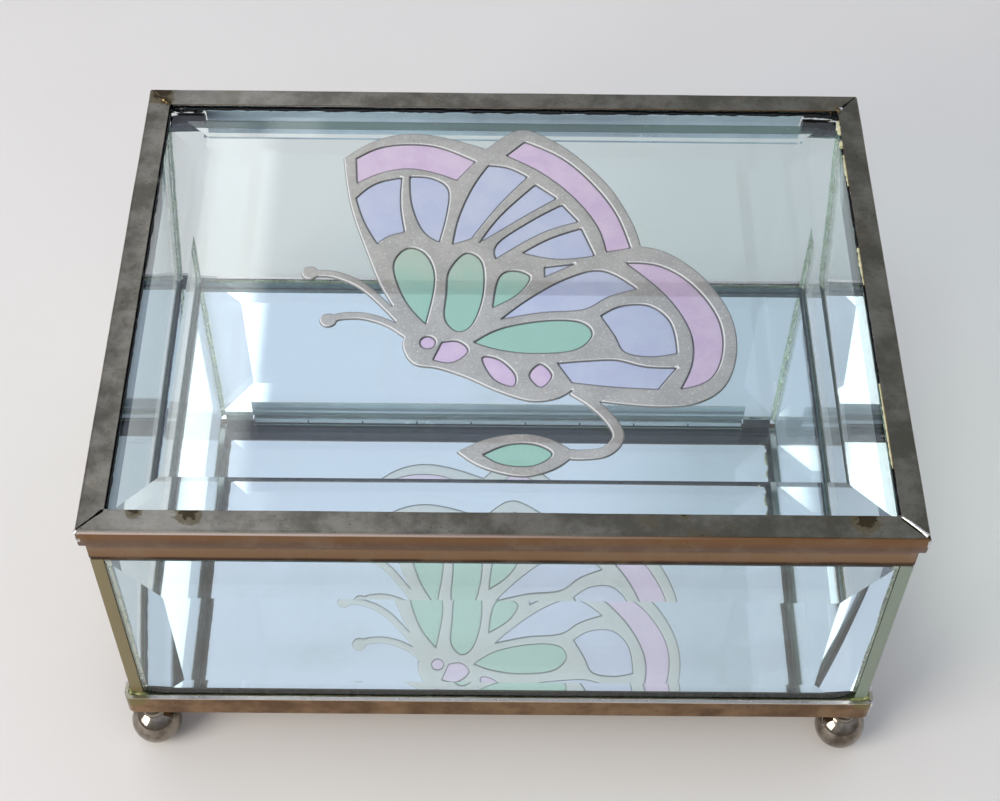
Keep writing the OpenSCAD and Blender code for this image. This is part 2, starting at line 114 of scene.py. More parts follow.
class Finish:
    """The node tree of a material or of the world, written as expressions on its sockets."""

    def __init__(self, owner):
        owner.use_nodes = True
        self.owner, self.tree = owner, owner.node_tree
        self.tree.nodes.clear()

    def node(self, kind, settings=None, inputs=None, output=0):
        """Adds a node with its settings, then its sockets' values or links, and gives one output."""
        made = self.tree.nodes.new(kind)
        for name, value in (settings or {}).items():
            setattr(made, name, value)
        for key, value in (inputs or {}).items():
            socket = made.inputs[key] if isinstance(key, int) else next(
                s for s in made.inputs if s.enabled and s.name == key)
            if isinstance(value, Signal):
                self.tree.links.new(value.socket, socket)
            else:
                socket.default_value = value
        return Signal(self, [s for s in made.outputs if s.enabled][output])

    def vector_maths(self, operation, first, second):
        return self.node("ShaderNodeVectorMath", {"operation": operation}, {0: first, 1: second})

    def apart(self, vector):
        """The three numbers of a vector."""
        split = self.node("ShaderNodeSeparateXYZ", inputs={"Vector": vector})
        return [Signal(self, s) for s in split.socket.node.outputs]

    def place(self):
        """The surface point in the box's own frame, in metres."""
        return self.node("ShaderNodeTexCoord", output=3)

    def millimetres(self):
        """The surface point in the box's own frame, as three numbers in millimetres."""
        return [part * (1 / mm) for part in self.apart(self.place())]

    def direction(self):
        """The direction that the surface faces in the box's own frame, as three numbers."""
        return self.apart(self.node("ShaderNodeTexCoord", output=1))

    def kept(self, name):
        """A number kept on the mesh's points under that name."""
        return self.node("ShaderNodeAttribute", {"attribute_name": name}, output=2)

    def cloud(self, size, detail=2.0, rough=0.5, stretch=None, shift=0.0):
        """Noise about 0.5, with lumps of that size in millimetres."""
        vector = self.place()
        if stretch:
            vector = self.vector_maths("MULTIPLY", vector, stretch)
        if shift:
            vector = self.vector_maths("ADD", vector, (shift,) * 3)
        return self.node("ShaderNodeTexNoise", inputs={
            "Vector": vector, "Scale": 1 / (size * mm), "Detail": detail, "Roughness": rough})

    def spot(self, centre, radius, ragged=0.35):
        """1 in a ragged patch about a point of the box, 0 outside it. Millimetres."""
        away = self.vector_maths("DISTANCE", self.place(), tuple(c * mm for c in centre))
        edge = away * (1 / (radius * mm)) + (self.cloud(radius * 0.6, 4, 0.6) - 0.5) * (2 * ragged)
        return edge.rise(1.05, 0.75)

    def tint(self, factor, first, second):
        """From the first colour to the second as factor goes from 0 to 1."""
        return self.node("ShaderNodeMix", {"data_type": "RGBA"},
                         {"Factor": factor, "A": first, "B": second})

    def bump(self, height, depth):
        """A normal from height, where 1 stands depth millimetres above 0."""
        return self.node("ShaderNodeBump", inputs={
            "Height": height, "Distance": depth * mm, "Strength": 1.0})

    def principled(self, inputs):
        return self.node("ShaderNodeBsdfPrincipled", inputs=inputs)

    def open_way(self, colour):
        """A shader that lets light straight on, in that colour."""
        return self.node("ShaderNodeBsdfTransparent", inputs={"Color": colour})

    def shared(self, share, first, second):
        """From the first shader to the second as share goes from 0 to 1."""
        return self.node("ShaderNodeMixShader", inputs={0: share, 1: first, 2: second})

    def done(self, surface, volume=None):
        """Puts the shaders on the output and gives the finished material or world."""
        of_world = isinstance(self.owner, bpy.types.World)
        output = self.tree.nodes.new("ShaderNodeOutputWorld" if of_world else "ShaderNodeOutputMaterial")
        self.tree.links.new(surface.socket, output.inputs["Surface"])
        if volume:
            self.tree.links.new(volume.socket, output.inputs["Volume"])
        return self.owner


def finish_named(name):
    return Finish(bpy.data.materials.new(name))


def new_object(name, mesh):
    made = bpy.data.objects.new(name, mesh)
    scene.collection.objects.link(made)
    return made


def table_finish():
    f = finish_named("pale_table")
    colour = f.tint(f.cloud(60, 3), seen(226, 222, 216), seen(232, 229, 224))
    return f.done(f.principled({"Base Color": colour, "Roughness": 0.6, "Specular IOR Level": 0.25}))


def daylight():
    """The room's light: dim low down, bluish above and brightest behind the box."""
    sky = Finish(bpy.data.worlds.new("daylight"))
    across, away, up = sky.apart(sky.node("ShaderNodeTexCoord", output=0))
    behind = away.rise(-0.6, 0.9)
    low_sky = sky.tint(behind, seen(150, 146, 142), seen(196, 196, 198))
    high_sky = sky.tint(behind, seen(220, 224, 234), seen(227, 232, 256))
    lean = across / up.most(0.02)
    high_sky = sky.tint(lean.rise(0.04, 0.16), high_sky, seen(196, 204, 220))
    strip = abs(lean - strip_lean).rise(0.035, 0.015) * away.rise(0.1, 0.4)
    high_sky = sky.tint(strip, high_sky, seen(420, 425, 430))
    light = sky.tint(up.rise(-0.05, 0.9), low_sky, high_sky)
    return sky.done(sky.node("ShaderNodeBackground", inputs={"Color": light, "Strength": sky_strength}))


table_mesh = bpy.data.meshes.new("table_top")
table_corners = [(x * table_half, y * table_half, 0) for x, y in ((-1, -1), (1, -1), (1, 1), (-1, 1))]
table_mesh.from_pydata(table_corners, [], [(0, 1, 2, 3)])
table_mesh.materials.append(table_finish())
new_object("table_top", table_mesh)

scene.world = daylight()

window = bpy.data.lights.new("window", "AREA")
window.size = window_size
window.energy = window_power
window.color = (1.0, 0.95, 0.88)
window_object = new_object("window", window)
window_object.location = window_way.normalized() * window_distance + Vector((0, 0, window_height))
window_object.rotation_mode = "QUATERNION"
window_object.rotation_quaternion = window_way.to_track_quat("Z", "Y")

camera = bpy.data.cameras.new("camera")
camera.lens = lens
camera.clip_start = 0.01
camera_object = new_object("camera", camera)
camera_object.matrix_world = (
    Matrix.Translation(camera_at) @ Matrix.Rotation(math.radians(-camera_yaw), 4, "Z")
    @ Matrix.Rotation(math.radians(90 - camera_pitch), 4, "X")
    @ Matrix.Rotation(math.radians(-camera_roll), 4, "Z"))
scene.camera = camera_object
scene.view_settings.view_transform = "Standard"


# The lid frame is four rails folded from thin plated strip: a flange over the glass, a tight bend and
# a skirt with its lower band set in. The top has gone grey and patchy, with brown spots along the glass.
rail_pitch = 1.5
rail_wave = 0.05
rail_edge = 0.07
slow_wave = 11.0
quick_wave = 3.0
wave_seed = 7
rail_low, rail_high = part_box("lid_frame_front")
half_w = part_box("lid_frame_right")[1].x / mm
half_d = -rail_low.y / mm
box_top = rail_high.z / mm
rail_spots = ((-61, -48.6, 1.4), (-52, -48.8, 2.6), (60, -49, 3.0), (-68, 51, 3.2), (30, -48.4, 0.9))


def solid_of(node):
    """A merged copy of a CAD node, with its flat faces whole again."""
    made = bmesh.new()
    made.from_mesh(nodes[node].data)
    bmesh.ops.remove_doubles(made, verts=made.verts, dist=0.002 * mm)
    bmesh.ops.dissolve_limit(made, angle_limit=math.radians(0.5), verts=made.verts, edges=made.edges)
    return made


def cut_across(solid, axis, pitch):
    """Cuts the solid along planes square to an axis, so that it can take a wave."""
    low = min(v.co[axis] for v in solid.verts) / mm
    high = max(v.co[axis] for v in solid.verts) / mm
    normal = Vector((axis == 0, axis == 1, axis == 2))
    for k in range(1, int((high - low) / pitch)):
        everything = solid.verts[:] + solid.edges[:] + solid.faces[:]
        bmesh.ops.bisect_plane(solid, geom=everything, plane_co=normal * (low + k * pitch) * mm,
                               plane_no=normal, dist=0.005 * mm)


def waved(solid, depth):
    """Moves the points by a slow noise, as hand-folded strip lies."""
    noise.seed_set(wave_seed)
    for v in solid.verts:
        slow = noise.noise_vector(v.co / (slow_wave * mm))
        quick = noise.noise_vector(v.co / (quick_wave * mm))
        v.co += (slow + quick * 0.25) * depth * mm


def piece_from(name, solid, finishes, smooth_angle=None):
    """A piece from a solid, with its finishes and with its creases kept sharp."""
    mesh = bpy.data.meshes.new(name)
    solid.to_mesh(mesh)
    solid.free()
    for finish in finishes:
        mesh.materials.append(finish)
    if smooth_angle:
        mesh.shade_smooth()
        mesh.set_sharp_from_angle(angle=math.radians(smooth_angle))
    return new_object(name, mesh)


def rounded_edges(piece, width, segments=2, angle=40):
    """Breaks the sharp edges of a piece."""
    bevel = piece.modifiers.new("broken_edges", "BEVEL")
    bevel.width = width * mm
    bevel.segments = segments
    bevel.limit_method = "ANGLE"
    bevel.angle_limit = math.radians(angle)


def placed(piece, body, slot, *replaced):
    """The piece rides on its body and stands for the CAD nodes named."""
    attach(piece, body)
    if replaced:
        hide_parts(*replaced)
    return piece


def plating(f, light, dark, stain, shine):
    """Worn plating, patchy and pitted: its colour, its roughness and its height."""
    patches = f.cloud(7, 5, 0.65).rise(0.36, 0.66)
    colour = f.tint(patches, dark, light)
    stained = f.cloud(12, 5, 0.7, shift=3.0).rise(0.56, 0.72)
    colour = f.tint(stained * 0.55, colour, stain)
    pits = f.cloud(0.5, 3, 0.7).rise(0.40, 0.30)
    colour = f.tint(pits * 0.7, colour, seen(46, 42, 38))
    scratches = f.cloud(0.6, 2, 0.6, stretch=(0.06, 1, 1)).rise(0.56, 0.7)
    rough = shine + f.cloud(4, 4, 0.6) * 0.16 + stained * 0.14 + pits * 0.2 - scratches * 0.06
    height = f.cloud(2.6, 3, 0.5) * 0.8 + f.cloud(0.5, 2) * 0.2 - pits * 0.25
    return colour, rough, height


def plated(f, colour, rough, height, metallic=1.0):
    """The finished plating."""
    return f.done(f.principled({"Base Color": colour, "Metallic": metallic, "Roughness": rough,
                                "Normal": f.bump(height, 0.02)}))


def frame_finish():
    """The rails: a dull top, paler to the left and darker to the right, a painted highlight along the bend,
    and a polished side below it in brown bands, which are a painted reflection of a wooden table.
    """
    f = finish_named("lid_frame_plating")
    colour, rough, height = plating(f, seen(138, 134, 121), seen(100, 97, 86), seen(112, 98, 70), 0.24)
    x, _, z = f.millimetres()
    _, _, upward = f.direction()
    top = upward.rise(0.3, 0.8)
    colour = f.tint(x.rise(-25, -60) * x.rise(-67, -63) * 0.3, colour, seen(178, 175, 163))
    colour = f.tint(x.rise(-30, 10) * 0.3, colour, seen(78, 76, 66))
    down = box_top - z
    # Painted highlight: a pale line along the bend, strongest at the left, where the window's light catches
    # it.
    painted_bend_highlight = down.rise(0.12, 0.25) * down.rise(1.0, 0.75) * x.rise(50, -40)
    # Painted reflection: the brown bands below the bend, darker at the foot, stand for a wooden table seen
    # in the polished metal.
    band = down + f.cloud(9, 3, 0.5, stretch=(0.15, 0.15, 1)) * 1.6
    painted_skirt_reflection = f.tint(band.rise(2.2, 5.0), seen(124, 90, 60), seen(94, 64, 40))
    painted_skirt_reflection = f.tint(band.rise(6.2, 7.4) * 0.8, painted_skirt_reflection, seen(138, 106, 74))
    painted_skirt_reflection = f.tint(band.rise(9.2, 10.0), painted_skirt_reflection, seen(60, 40, 26))
    painted_skirt_reflection = f.tint(f.cloud(5, 4, 0.6).rise(0.45, 0.7) * 0.35, painted_skirt_reflection, seen(134, 112, 88))
    colour = f.tint(painted_bend_highlight * 0.5, f.tint(top, painted_skirt_reflection, colour), seen(252, 242, 238))
    for spot_x, spot_y, radius in rail_spots:
        patch = f.spot((spot_x, spot_y, box_top), radius, 0.8)
        core = f.spot((spot_x, spot_y + 0.3, box_top), radius * 0.6, 1.2)
        colour = f.tint(patch * 0.6, colour, seen(104, 92, 60))
        colour = f.tint(core * 0.75, colour, seen(48, 36, 22))
        rough = rough + patch * 0.15
    return plated(f, colour, rough - (1 - top) * 0.16, height)


rail_finish = frame_finish()
for side in ("front", "back", "left", "right"):
    node = "lid_frame_" + side
    rail_solid = solid_of(node)
    cut_across(rail_solid, 0 if side in ("front", "back") else 1, rail_pitch)
    waved(rail_solid, rail_wave)
    rail = piece_from(node + "_rail", rail_solid, [rail_finish], 30)
    rounded_edges(rail, rail_edge)
    placed(rail, "lid", "frame_metal", node)


# Solder holds the mitres: a bright bead at the front right, bare open seams elsewhere, and stray drops.
# Each run is drawn as a line with a thickness at each point, and swells and pinches as it froze.
bead_pitch = 0.22
bead_sides = 12
lid_corner = (half_w, half_d, box_top)


def bead_tree():
    """A lumpy bead along lines: the tree that every run of solder, sealant and adhesive shares."""
    tree = bpy.data.node_groups.new("bead_along_lines", "GeometryNodeTree")
    inputs = (("Geometry", "NodeSocketGeometry", None), ("Lump size", "NodeSocketFloat", 1.5),
              ("Lump height", "NodeSocketFloat", 0.3), ("Spacing", "NodeSocketFloat", bead_pitch * mm),
              ("Seed", "NodeSocketFloat", 0.0), ("Material", "NodeSocketMaterial", None))
    for name, kind, value in inputs:
        socket = tree.interface.new_socket(name, in_out="INPUT", socket_type=kind)
        if value is not None:
            socket.default_value = value
    tree.interface.new_socket("Geometry", in_out="OUTPUT", socket_type="NodeSocketGeometry")

    def add(kind, links, **settings):
        """Adds a node and gives its outputs."""
        made = tree.nodes.new(kind)
        for name, value in settings.items():
            setattr(made, name, value)
        for key, value in links.items():
            if isinstance(value, bpy.types.NodeSocket):
                tree.links.new(value, made.inputs[key])
            else:
                made.inputs[key].default_value = value
        return made.outputs

    def maths(operation, first, second):
        return add("ShaderNodeMath", {0: first, 1: second}, operation=operation)[0]

    given = add("NodeGroupInput", {})
    lines = add("GeometryNodeMeshToCurve", {"Mesh": given["Geometry"]})["Curve"]
    along = {"Curve": lines, "Length": given["Spacing"]}
    dense = add("GeometryNodeResampleCurve", along, mode="LENGTH")["Curve"]
    thick = add("GeometryNodeInputNamedAttribute", {"Name": "thick"}, data_type="FLOAT")["Attribute"]
    where = add("GeometryNodeInputPosition", {})["Position"]
    shift = add("ShaderNodeCombineXYZ", {0: given["Seed"], 1: given["Seed"], 2: given["Seed"]})[0]
    lump = add("ShaderNodeTexNoise", {
        "Vector": add("ShaderNodeVectorMath", {0: where, 1: shift})[0],
        "Scale": maths("DIVIDE", 1 / mm, given["Lump size"]), "Detail": 2.0})[0]
    swell = add("ShaderNodeMapRange", {
        "Value": lump, "From Min": 0.3, "From Max": 0.7,
        "To Min": maths("SUBTRACT", 1.0, given["Lump height"]),
        "To Max": maths("ADD", 1.0, given["Lump height"])})[0]
    ring = add("GeometryNodeCurvePrimitiveCircle", {"Resolution": bead_sides, "Radius": 1.0}, mode="RADIUS")
    tube = add("GeometryNodeCurveToMesh", {
        "Curve": dense, "Profile Curve": ring["Curve"], "Scale": maths("MULTIPLY", thick, swell),
        "Fill Caps": True})["Mesh"]
    smooth = add("GeometryNodeSetShadeSmooth", {"Geometry": tube})["Geometry"]
    real = add("GeometryNodeRealizeInstances", {"Geometry": smooth})["Geometry"]
    coated = add("GeometryNodeSetMaterial", {"Geometry": real, "Material": given["Material"]})["Geometry"]
    add("NodeGroupOutput", {0: coated})
    return tree


bead_nodes = bead_tree()


def beads(name, runs, finish, lump_size, lump_height, seed):
    """Beads along runs. A run is a list of (x, y, z, radius) in millimetres."""
    mesh = bpy.data.meshes.new(name)
    points, edges = [], []
    for run in runs:
        edges += [(len(points) + k, len(points) + k + 1) for k in range(len(run) - 1)]
        points += run
    mesh.from_pydata([(x * mm, y * mm, z * mm) for x, y, z, _ in points], edges, [])
    thick = mesh.attributes.new("thick", "FLOAT", "POINT")
    thick.data.foreach_set("value", [radius * mm for _, _, _, radius in points])
    lines = new_object(name + "_lines", mesh)
    grown = lines.modifiers.new("beads", "NODES")
    grown.node_group = bead_nodes
    values = {"Lump size": lump_size, "Lump height": lump_height, "Spacing": bead_pitch * mm, "Seed": seed,
              "Material": finish}
    for socket in bead_nodes.interface.items_tree:
        if socket.item_type == "SOCKET" and socket.in_out == "INPUT" and socket.name in values:
            grown[socket.identifier] = values[socket.name]
    grown_mesh = bpy.data.meshes.new_from_object(lines.evaluated_get(bpy.context.evaluated_depsgraph_get()))
    grown_mesh.name = name
    bpy.data.objects.remove(lines)
    return new_object(name, grown_mesh)


def corner_run(corner, side_x, side_y, *points):
    """A run near a corner. Each point says how far in it lies along x and y, how far up, and its radius."""
    far_x, far_y, level = corner
    return [(side_x * (far_x - in_x), side_y * (far_y - in_y), level + up, radius)
            for in_x, in_y, up, radius in points]


def solder_finish(name, bright, dull):
    """Frozen solder, bright where it ran smooth and grey between."""
    f = finish_named(name)
    grey = f.cloud(1.2, 4, 0.6).rise(0.35, 0.65)
    return f.done(f.principled({
        "Base Color": f.tint(grey, bright, dull), "Metallic": 1.0, "Roughness": 0.12 + grey * 0.3,
        "Normal": f.bump(f.cloud(0.8, 3, 0.6), 0.04)}))


bright_solder = solder_finish("bright_solder", seen(236, 234, 230), seen(190, 188, 186))
old_solder = solder_finish("old_solder", seen(128, 112, 84), seen(44, 40, 32))
black_seam = solder_finish("black_seam", seen(26, 26, 24), seen(12, 12, 12))
bright_runs = [
    corner_run(lid_corner, 1, -1, (0.5, 0.5, -0.1, 0.5), (1.6, 1.6, 0.02, 0.28), (3.2, 3.2, 0.02, 0.3),
               (4.3, 4.2, 0, 0.22)),
    corner_run(lid_corner, 1, -1, (0.1, 0.1, -0.7, 0.3), (0.12, 0.12, -2.6, 0.22)),
    corner_run(lid_corner, -1, -1, (0.55, 0.4, -0.3, 0.3), (0.3, 0.25, -0.7, 0.52)),
    corner_run(lid_corner, -1, -1, (0.3, 0.25, -2.2, 0.5), (0.35, 0.3, -3.0, 0.42)),
    corner_run(lid_corner, 1, 1, (3.9, 4.0, -0.2, 0.5), (3.4, 3.7, 0, 0.3))]
old_runs = [
    corner_run(lid_corner, -1, 1, (2.9, 3.0, -0.05, 0.55), (3.8, 3.6, 0, 0.75), (4.5, 4.4, -0.3, 0.5)),
    corner_run(lid_corner, -1, 1, (1.2, 1.2, -0.1, 0.22), (2.6, 2.6, -0.05, 0.3)),
    corner_run(lid_corner, 1, 1, (4.6, 3.4, -0.4, 0.5), (5.8, 4.6, -0.7, 0.35)),
    corner_run(lid_corner, 1, 1, (4.4, 5.4, -0.1, 0.2), (4.1, 4.2, 0.05, 0.4), (4.9, 4.1, -0.2, 0.3))]
seam_runs = [
    corner_run(lid_corner, -1, -1, (0.7, 0.7, -0.1, 0.12), (2.0, 2.0, -0.08, 0.2), (4.2, 4.2, -0.1, 0.34)),
    corner_run(lid_corner, 1, -1, (1.3, 0.8, -0.12, 0.14), (2.8, 2.2, -0.08, 0.18), (4.5, 3.9, -0.1, 0.16)),
    corner_run(lid_corner, 1, 1, (0.8, 0.8, -0.14, 0.14), (3.4, 3.4, -0.08, 0.22), (4.3, 4.3, -0.1, 0.3)),
    corner_run(lid_corner, -1, 1, (1.0, 1.0, -0.14, 0.14), (2.4, 2.4, -0.1, 0.2))]
for bead in (beads("lid_solder_bright", bright_runs, bright_solder, 2.0, 0.2, 1.0),
             beads("lid_solder_old", old_runs, old_solder, 1.0, 0.35, 5.0),
             beads("lid_seam_grime", seam_runs, black_seam, 1.4, 0.35, 8.0)):
    placed(bead, "lid", "solder", "lid_corner_solder")


# The lid glass is float glass with a wide bevel ground on its top face and polished, a little narrower
# at the front, and its rim left ground. The panes of the walls are the same glass, stood up with their
# bevels outwards.
glass_ior = 1.52
glass_soak = seen(0, 225, 220)
glass_soak_density = 18.0
pane_edge = 0.14
pane_edge_angle = 8
front_bevel_trim = 1.0


def clear_body(f, surface, shade):
    """A clear solid that lamps light through, in that shade, and that soaks up some colour with depth."""
    lamp_ray = f.node("ShaderNodeLightPath", output=1)
    soak = f.node("ShaderNodeVolumeAbsorption", inputs={"Color": glass_soak, "Density": glass_soak_density})
    return f.done(f.shared(lamp_ray, surface, f.open_way(shade)), soak)


def polished_finish():
    """Polished faces, with smudges and wiping streaks."""
    f = finish_named("polished_glass")
    smudge = f.cloud(13, 5, 0.6).rise(0.52, 0.8)
    streaks = f.cloud(5, 3, 0.6, stretch=(1, 0.12, 0.12)).rise(0.58, 0.8)
    skin = f.principled({
        "Base Color": (1, 1, 1, 1), "Transmission Weight": 1.0, "IOR": glass_ior,
        "Roughness": smudge * 0.05 + streaks * 0.03, "Normal": f.bump(f.cloud(16, 1, 0.4), 0.0012)})
    return clear_body(f, skin, (0.93, 0.96, 0.95, 1))


def ground_finish():
    """Ground edges, chipped, and brown or pale at the ends of the front pane."""
    f = finish_named("ground_glass")
    x, y, _ = f.millimetres()
    grit = f.cloud(0.35, 3, 0.7)
    chips = f.cloud(1.3, 4, 0.7).rise(0.6, 0.7)
    colour = f.tint(chips, seen(176, 212, 206), seen(240, 248, 240))
    at_front = y.rise(-44, -48)
    colour = f.tint(at_front * x.rise(-62, -66), colour, seen(206, 184, 126))
    colour = f.tint(at_front * x.rise(62, 66) * 0.7, colour, seen(234, 246, 214))
    skin = f.principled({
        "Base Color": colour, "Transmission Weight": 0.72, "IOR": glass_ior,
        "Roughness": 0.34 + grit * 0.25, "Normal": f.bump(grit + chips * 0.5, 0.05)})
    return clear_body(f, skin, (0.8, 0.86, 0.8, 1))


polished_glass = polished_finish()
ground_glass = ground_finish()


def glass_pane(node, body, across, front_trim=0.0):
    """A pane of one node. The faces that don't look along its thickness axis are its edges, and ground."""
    solid = solid_of(node)
    if front_trim:
        top = max(v.co.z for v in solid.verts)
        for v in solid.verts:
            if v.co.y < 0 and v.co.z > top - 0.1 * mm:
                v.co.y -= front_trim * mm
    for face in solid.faces:
        face.material_index = int(abs(face.normal[across]) < 0.5)
    pane = piece_from(node + "_pane", solid, [polished_glass, ground_glass])
    rounded_edges(pane, pane_edge, 2, pane_edge_angle)
    return placed(pane, body, "clear_glass", node)


glass_pane("lid_glass", "lid", 2, front_bevel_trim)
for side, across in (("front", 1), ("back", 1), ("left", 0), ("right", 0)):
    glass_pane(side + "_glass", "case", across)


# Black sealant beds the lid glass under the flange, shows there as a glossy line, and has squeezed out
# in places. Black lumps of it fill the back corners past the ends of the hinge, as painted shade where
# those corners look dark. A few pale crumbs of old glue lie along the right side.
flange_in = 4.4
in_w, in_d = half_w - flange_in, half_d - flange_in
seal_z = box_top - 1.15
crumb_z = box_top - 0.55
strip_x, _, strip_top = (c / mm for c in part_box("hinge_case_rail")[1])
strip_end = (strip_x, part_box("back_glass")[0].y / mm + 1.1, strip_top)
crumb_groups = (
    ((2.5, 0.35), (4.5, 0.55), (6.2, 0.3)), ((8.0, 0.3), (9.6, 0.42)), ((12, 0.22), (17, 0.3), (20, 0.18)),
    ((36.1, 0.2), (40.1, 0.26), (45.1, 0.15)), ((68.1, 0.16), (78.1, 0.22), (86.1, 0.14)))


def eased(solid, by):
    """Draws a solid in a little, so that clear pieces don't share a face."""
    solid.normal_update()
    moves = [v.normal * by * mm for v in solid.verts]
    for v, move in zip(solid.verts, moves):
        v.co -= move


def sealant_finish():
    """Black along the flange's inner edge. Farther in the bead is thin, and the bright underside shows."""
    f = finish_named("black_sealant")
    x, _, _ = f.millimetres()
    dust = f.cloud(0.7, 4, 0.7).rise(0.6, 0.75)
    bare = (abs(x) - in_w + f.cloud(2, 3, 0.6) * 0.5).rise(1.3, 1.7)
    colour = f.tint(dust, seen(14, 16, 16), seen(52, 58, 54))
    return f.done(f.principled({
        "Base Color": f.tint(bare, colour, seen(214, 216, 218)), "Metallic": bare,
        "Roughness": 0.2 + dust * 0.4 * (1 - bare), "Normal": f.bump(f.cloud(1.6, 3, 0.5), 0.02)}))


def crumb_finish():
    f = finish_named("old_glue_crumbs")
    return f.done(f.principled({
        "Base Color": f.tint(f.cloud(0.8, 3, 0.6), seen(214, 208, 168), seen(176, 178, 140)),
        "Roughness": 0.35, "Normal": f.bump(f.cloud(0.5, 3, 0.6), 0.08)}))


black_sealant = sealant_finish()
seal_solid = solid_of("lid_sealant")
eased(seal_solid, 0.03)
placed(piece_from("lid_sealant_bed", seal_solid, [black_sealant]), "lid", "sealant", "lid_sealant")
seal_runs = [
    [(0.15 - in_w, y, seal_z, 0.25) for y in (-in_d + 1, -20, 0, 20, in_d - 1)],
    [(x, in_d - 0.15, seal_z, 0.28) for x in (-in_w + 1, -30, 0, 30, in_w - 1)],
    [(in_w - 0.1, y, seal_z, 0.16) for y in (-in_d + 1, -10, 10, in_d - 8)]]
# Painted shade: black lumps at the back corners, past the ends of the hinge strip, where those corners look
# dark.
seal_runs += [
    corner_run(strip_end, side, 1, (-0.1, 0, -0.2, 0.7), (-3.5, 0, -0.2, 0.85), (-6.6, 0.2, -0.2, 0.8))
    for side in (-1, 1)]
# Painted shade: more black lumps lower in the same back corners.
corner_shade_runs = [
    corner_run(strip_end, side, 1, (-0.1, 0, up, radius), (-3.5, 0, up, radius), (-6.4, 0.2, up, radius))
    for side in (-1, 1) for up, radius in ((-4.2, 1.25), (-2.7, 0.75))]
crumb_runs = [[(in_w - 0.1, in_d - back, crumb_z, radius) for back, radius in group]
              for group in crumb_groups]
placed(beads("lid_sealant_squeezed", seal_runs, black_sealant, 2.5, 0.5, 2.0), "lid", "sealant")
placed(beads("strip_end_painted_shade", corner_shade_runs, black_sealant, 2.5, 0.15, 7.0), "case", "sealant")
placed(beads("lid_glue_crumbs", crumb_runs, crumb_finish(), 0.9, 0.6, 3.0), "lid", "adhesive")


# The ornament is a cast sticker on a clear glue film: frosted grey lines with round shoulders, and cells
# of pearly pink, lavender and green that lie a little lower between them. The colour is partly clear, and
# pale where it is seen from below, in the mirror floor.
line_rise = 0.42
cell_rise = 0.2
cell_gap = 0.02
foot_share = 0.35
shoulder = 0.42
shoulder_rings = (0.12, 0.3, 0.6, 1.0)
ring_margin = 0.86
outline_pitch = 0.45
inner_pitch = 0.9
inner_margin = 1.35
ornament_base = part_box("lid_glass")[1].z / mm + 0.012


def outlines(node):
    """The closed lines round the top of a CAD node, as lists of flat points in millimetres."""
    solid = solid_of(node)
    solid.verts.index_update()
    top = max(v.co.z for v in solid.verts) - 0.01 * mm
    rim = [e for e in solid.edges if sum(face.normal.z > 0.5 for face in e.link_faces) == 1
           and e.verts[0].co.z > top and e.verts[1].co.z > top]
    joined = {}
    for e in rim:
        for a, b in ((0, 1), (1, 0)):
            joined.setdefault(e.verts[a].index, []).append(e.verts[b].index)
    spot = {v.index: v.co.to_2d() / mm for v in solid.verts}
    loops = []
    while joined:
        start = next(iter(joined))
        loop, here = [], start
        while here in joined:
            ways = joined.pop(here)
            loop.append(spot[here])
            here = next((n for n in ways if n in joined), start)
        loops.append(loop)
    solid.free()
    return loops


def evenly(loop, pitch):
    """The closed line with points about a pitch apart, its own points kept."""
    points = []
    for a, b in zip(loop, loop[1:] + loop[:1]):
        steps = max(1, round((b - a).length / pitch))
        points += [a.lerp(b, k / steps) for k in range(steps)]
    return points


def filled(points, ends):
    """Flat triangles inside closed lines and outside the holes in them.

    Gives their points, the triangles, and each point's place in the list given.
    """
    flat, _, faces, sources, _, _ = geometry.delaunay_2d_cdt(points, ends, [], 1, 1e-5)
    starts = np.array([points[a] for a, _ in ends])
    stops = np.array([points[b] for _, b in ends])
    middle = np.array([sum((flat[k] for k in face), Vector((0, 0))) / len(face) for face in faces])
    level = (starts[:, 1] > middle[:, 1:]) != (stops[:, 1] > middle[:, 1:])
    climb = np.where(stops[:, 1] == starts[:, 1], 1, stops[:, 1] - starts[:, 1])
    slope = (stops[:, 0] - starts[:, 0]) / climb
    right = starts[:, 0] + slope * (middle[:, 1:] - starts[:, 1]) > middle[:, :1]
    kept = (level & right).sum(axis=1) % 2 == 1
    return flat, [face for face, held in zip(faces, kept) if held], [min(g) if g else -1 for g in sources]


def ways_in(line, ends):
    """The direction into the form at each point of its outline."""
    _, inside, named = filled(line, ends)
    held = {(named[a], named[b]) for face in inside for a, b in zip(face, face[1:] + face[:1])}
    ways = {}
    for a, b in ends:
        run = (line[b] - line[a]).normalized()
        left = Vector((-run.y, run.x))
        turn = left if (a, b) in held else -left
        for k in (a, b):
            ways[k] = ways.get(k, Vector((0, 0))) + turn
    return [ways[k].normalized() for k in range(len(line))]


def depth_in(line, ends):
    """A function that says how far a point lies from the outline."""
    tree = kdtree.KDTree(len(line))
    for k, p in enumerate(line):
        tree.insert((p.x, p.y, 0), k)
    tree.balance()
    ends_at = {}
    for a, b in ends:
        ends_at.setdefault(a, []).append((a, b))
        ends_at.setdefault(b, []).append((a, b))

    def depth(p):
        _, near, best = tree.find((p.x, p.y, 0))
        for a, b in ends_at[near]:
            foot, share = geometry.intersect_point_line(p, line[a], line[b])
            if 0 <= share <= 1:
                best = min(best, (foot - p).length)
        return best

    return depth


def top_points(line, ways, depth):
    """The points of the top: the outline, rings up the shoulder, and a grid over the flat."""
    points = list(line)
    for share in shoulder_rings:
        ring = shoulder * share
        for p, way in zip(line, ways):
            q = p + way * ring
            if depth(q) > ring_margin * ring:
                points.append(q)
    low_x, high_x = min(p.x for p in line), max(p.x for p in line)
    low_y, high_y = min(p.y for p in line), max(p.y for p in line)
    for i in range(int((high_x - low_x) / inner_pitch)):
        for j in range(int((high_y - low_y) / inner_pitch)):
            q = Vector((low_x + inner_pitch * (i + 0.5 * (j % 2)), low_y + inner_pitch * j))
            if depth(q) > inner_margin * shoulder:
                points.append(q)
    return points


